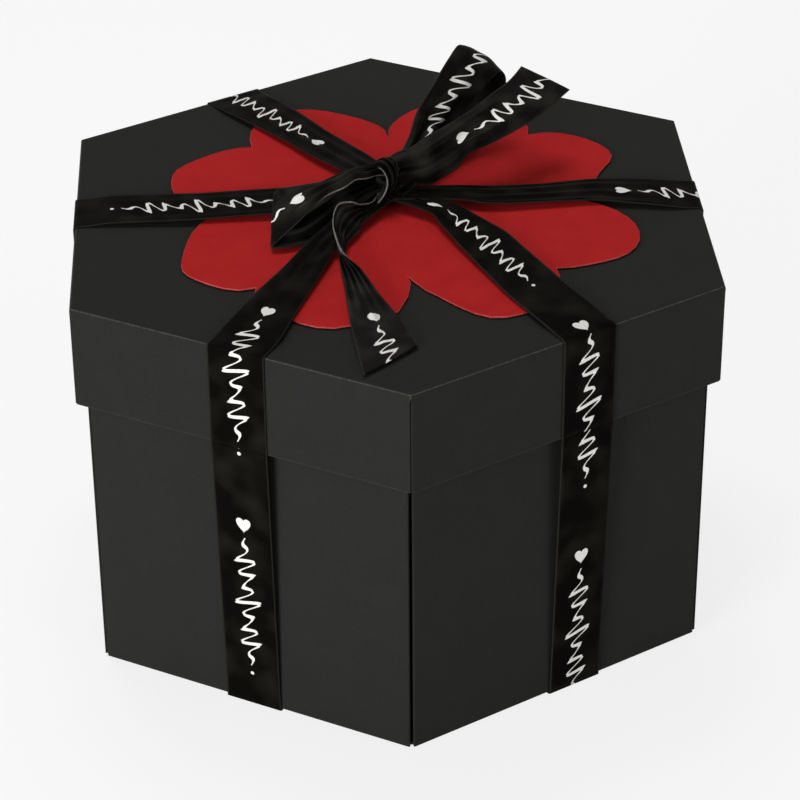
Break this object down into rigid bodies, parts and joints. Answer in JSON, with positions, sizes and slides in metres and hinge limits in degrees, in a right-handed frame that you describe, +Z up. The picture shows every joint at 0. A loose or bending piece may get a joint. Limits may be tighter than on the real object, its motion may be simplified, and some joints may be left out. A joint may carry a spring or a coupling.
{
  "type": "explosion box",
  "caption": "Hexagonal card explosion box with nested fold-down walls, a lift-off lid with a sheet of hearts, and a ribbon bow.",
  "frame": {"origin": "bottom centre, on the underside of the ribbon that passes under the base", "axes": "+Z up; a corner of the hexagon points along -Y; +Y is across the corners"},
  "size_m": [0.1616, 0.1848, 0.1343],
  "materials": {
    "black_card": "matt",
    "red_card": "matt",
    "ribbon": "satin"
  },
  "bodies": {
    "base": {"outer_base": "black_card", "middle_base": "black_card", "inner_base": "black_card", "gift_tray": "black_card", "ribbon_under_1": "ribbon", "ribbon_under_2": "ribbon", "ribbon_under_3": "ribbon", "ribbon_under_4": "ribbon", "ribbon_under_5": "ribbon", "ribbon_under_6": "ribbon"},
    "lid": {"lid_shell": "black_card", "heart_sheet": "red_card", "ribbon_arm_1": "ribbon", "ribbon_arm_2": "ribbon", "ribbon_arm_3": "ribbon", "ribbon_arm_4": "ribbon", "ribbon_arm_5": "ribbon", "ribbon_arm_6": "ribbon", "knot": "ribbon", "loop_side": "ribbon", "loop_back": "ribbon", "tail_front": "ribbon", "tail_back": "ribbon"},
    "gift_box_lid": {"gift_lid": "black_card"},
    "outer_wall_1": {"outer_panel_1": "black_card"},
    "outer_wall_2": {"outer_panel_2": "black_card"},
    "outer_wall_3": {"outer_panel_3": "black_card"},
    "outer_wall_4": {"outer_panel_4": "black_card"},
    "outer_wall_5": {"outer_panel_5": "black_card"},
    "outer_wall_6": {"outer_panel_6": "black_card"},
    "middle_wall_1": {"middle_panel_1": "black_card"},
    "middle_wall_2": {"middle_panel_2": "black_card"},
    "middle_wall_3": {"middle_panel_3": "black_card"},
    "middle_wall_4": {"middle_panel_4": "black_card"},
    "middle_wall_5": {"middle_panel_5": "black_card"},
    "middle_wall_6": {"middle_panel_6": "black_card"},
    "inner_wall_1": {"inner_panel_1": "black_card"},
    "inner_wall_2": {"inner_panel_2": "black_card"},
    "inner_wall_3": {"inner_panel_3": "black_card"},
    "inner_wall_4": {"inner_panel_4": "black_card"},
    "inner_wall_5": {"inner_panel_5": "black_card"},
    "inner_wall_6": {"inner_panel_6": "black_card"},
    "ribbon_end_1": {"ribbon_drop_1": "ribbon"},
    "ribbon_end_2": {"ribbon_drop_2": "ribbon"},
    "ribbon_end_3": {"ribbon_drop_3": "ribbon"},
    "ribbon_end_4": {"ribbon_drop_4": "ribbon"},
    "ribbon_end_5": {"ribbon_drop_5": "ribbon"},
    "ribbon_end_6": {"ribbon_drop_6": "ribbon"}
  },
  "joints": [
    {"name": "lid_lift", "type": "slide", "parent": "base", "child": "lid", "axis": [0, 0, 1], "range_m": [0, 0.4]},
    {"name": "gift_lid_lift", "type": "slide", "parent": "base", "child": "gift_box_lid", "axis": [0, 0, 1], "range_m": [0, 0.1]},
    {"name": "outer_panel_1_fold", "type": "hinge", "parent": "base", "child": "outer_wall_1", "pos_m": [-0.03865, -0.06695, 0.00065], "axis": [0.866, -0.5, 0], "range_deg": [0, 90]},
    {"name": "outer_panel_2_fold", "type": "hinge", "parent": "base", "child": "outer_wall_2", "pos_m": [0.03865, -0.06695, 0.00065], "axis": [0.866, 0.5, 0], "range_deg": [0, 90]},
    {"name": "outer_panel_3_fold", "type": "hinge", "parent": "base", "child": "outer_wall_3", "pos_m": [0.07731, 0, 0.00065], "axis": [0, 1, 0], "range_deg": [0, 90]},
    {"name": "outer_panel_4_fold", "type": "hinge", "parent": "base", "child": "outer_wall_4", "pos_m": [0.03865, 0.06695, 0.00065], "axis": [-0.866, 0.5, 0], "range_deg": [0, 90]},
    {"name": "outer_panel_5_fold", "type": "hinge", "parent": "base", "child": "outer_wall_5", "pos_m": [-0.03865, 0.06695, 0.00065], "axis": [-0.866, -0.5, 0], "range_deg": [0, 90]},
    {"name": "outer_panel_6_fold", "type": "hinge", "parent": "base", "child": "outer_wall_6", "pos_m": [-0.07731, 0, 0.00065], "axis": [0, -1, 0], "range_deg": [0, 90]},
    {"name": "middle_panel_1_fold", "type": "hinge", "parent": "base", "child": "middle_wall_1", "pos_m": [-0.03465, -0.06002, 0.00175], "axis": [0.866, -0.5, 0], "range_deg": [0, 90]},
    {"name": "middle_panel_2_fold", "type": "hinge", "parent": "base", "child": "middle_wall_2", "pos_m": [0.03465, -0.06002, 0.00175], "axis": [0.866, 0.5, 0], "range_deg": [0, 90]},
    {"name": "middle_panel_3_fold", "type": "hinge", "parent": "base", "child": "middle_wall_3", "pos_m": [0.06931, 0, 0.00175], "axis": [0, 1, 0], "range_deg": [0, 90]},
    {"name": "middle_panel_4_fold", "type": "hinge", "parent": "base", "child": "middle_wall_4", "pos_m": [0.03465, 0.06002, 0.00175], "axis": [-0.866, 0.5, 0], "range_deg": [0, 90]},
    {"name": "middle_panel_5_fold", "type": "hinge", "parent": "base", "child": "middle_wall_5", "pos_m": [-0.03465, 0.06002, 0.00175], "axis": [-0.866, -0.5, 0], "range_deg": [0, 90]},
    {"name": "middle_panel_6_fold", "type": "hinge", "parent": "base", "child": "middle_wall_6", "pos_m": [-0.06931, 0, 0.00175], "axis": [0, -1, 0], "range_deg": [0, 90]},
    {"name": "inner_panel_1_fold", "type": "hinge", "parent": "base", "child": "inner_wall_1", "pos_m": [-0.03065, -0.05309, 0.00285], "axis": [0.866, -0.5, 0], "range_deg": [0, 90]},
    {"name": "inner_panel_2_fold", "type": "hinge", "parent": "base", "child": "inner_wall_2", "pos_m": [0.03065, -0.05309, 0.00285], "axis": [0.866, 0.5, 0], "range_deg": [0, 90]},
    {"name": "inner_panel_3_fold", "type": "hinge", "parent": "base", "child": "inner_wall_3", "pos_m": [0.06131, 0, 0.00285], "axis": [0, 1, 0], "range_deg": [0, 90]},
    {"name": "inner_panel_4_fold", "type": "hinge", "parent": "base", "child": "inner_wall_4", "pos_m": [0.03065, 0.05309, 0.00285], "axis": [-0.866, 0.5, 0], "range_deg": [0, 90]},
    {"name": "inner_panel_5_fold", "type": "hinge", "parent": "base", "child": "inner_wall_5", "pos_m": [-0.03065, 0.05309, 0.00285], "axis": [-0.866, -0.5, 0], "range_deg": [0, 90]},
    {"name": "inner_panel_6_fold", "type": "hinge", "parent": "base", "child": "inner_wall_6", "pos_m": [-0.06131, 0, 0.00285], "axis": [0, -1, 0], "range_deg": [0, 90]},
    {"name": "ribbon_drop_1_fall", "type": "hinge", "parent": "base", "child": "ribbon_end_1", "pos_m": [-0.0388, -0.06721, 0.00035], "axis": [0.866, -0.5, 0], "range_deg": [0, 87.94]},
    {"name": "ribbon_drop_2_fall", "type": "hinge", "parent": "base", "child": "ribbon_end_2", "pos_m": [0.0431, -0.06473, 0.00035], "axis": [0.866, 0.5, 0], "range_deg": [0, 87.94]},
    {"name": "ribbon_drop_3_fall", "type": "hinge", "parent": "base", "child": "ribbon_end_3", "pos_m": [0.07761, 0.00201, 0.00035], "axis": [0, 1, 0], "range_deg": [0, 87.94]},
    {"name": "ribbon_drop_4_fall", "type": "hinge", "parent": "base", "child": "ribbon_end_4", "pos_m": [0.0388, 0.06721, 0.00035], "axis": [-0.866, 0.5, 0], "range_deg": [0, 87.94]},
    {"name": "ribbon_drop_5_fall", "type": "hinge", "parent": "base", "child": "ribbon_end_5", "pos_m": [-0.038, 0.06767, 0.00035], "axis": [-0.866, -0.5, 0], "range_deg": [0, 87.94]},
    {"name": "ribbon_drop_6_fall", "type": "hinge", "parent": "base", "child": "ribbon_end_6", "pos_m": [-0.07761, 0.00295, 0.00035], "axis": [0, -1, 0], "range_deg": [0, 87.94]}
  ],
  "couplings": [
    {"joint": "gift_lid_lift", "follows": "lid_lift", "ratio": 0.25},
    {"joint": "outer_panel_1_fold", "follows": "lid_lift", "rad_per_m": 3.927},
    {"joint": "outer_panel_2_fold", "follows": "lid_lift", "rad_per_m": 3.927},
    {"joint": "outer_panel_3_fold", "follows": "lid_lift", "rad_per_m": 3.927},
    {"joint": "outer_panel_4_fold", "follows": "lid_lift", "rad_per_m": 3.927},
    {"joint": "outer_panel_5_fold", "follows": "lid_lift", "rad_per_m": 3.927},
    {"joint": "outer_panel_6_fold", "follows": "lid_lift", "rad_per_m": 3.927},
    {"joint": "middle_panel_1_fold", "follows": "lid_lift", "rad_per_m": 3.927},
    {"joint": "middle_panel_2_fold", "follows": "lid_lift", "rad_per_m": 3.927},
    {"joint": "middle_panel_3_fold", "follows": "lid_lift", "rad_per_m": 3.927},
    {"joint": "middle_panel_4_fold", "follows": "lid_lift", "rad_per_m": 3.927},
    {"joint": "middle_panel_5_fold", "follows": "lid_lift", "rad_per_m": 3.927},
    {"joint": "middle_panel_6_fold", "follows": "lid_lift", "rad_per_m": 3.927},
    {"joint": "inner_panel_1_fold", "follows": "lid_lift", "rad_per_m": 3.927},
    {"joint": "inner_panel_2_fold", "follows": "lid_lift", "rad_per_m": 3.927},
    {"joint": "inner_panel_3_fold", "follows": "lid_lift", "rad_per_m": 3.927},
    {"joint": "inner_panel_4_fold", "follows": "lid_lift", "rad_per_m": 3.927},
    {"joint": "inner_panel_5_fold", "follows": "lid_lift", "rad_per_m": 3.927},
    {"joint": "inner_panel_6_fold", "follows": "lid_lift", "rad_per_m": 3.927},
    {"joint": "ribbon_drop_1_fall", "follows": "lid_lift", "rad_per_m": 3.837},
    {"joint": "ribbon_drop_2_fall", "follows": "lid_lift", "rad_per_m": 3.837},
    {"joint": "ribbon_drop_3_fall", "follows": "lid_lift", "rad_per_m": 3.837},
    {"joint": "ribbon_drop_4_fall", "follows": "lid_lift", "rad_per_m": 3.837},
    {"joint": "ribbon_drop_5_fall", "follows": "lid_lift", "rad_per_m": 3.837},
    {"joint": "ribbon_drop_6_fall", "follows": "lid_lift", "rad_per_m": 3.837}
  ]
}
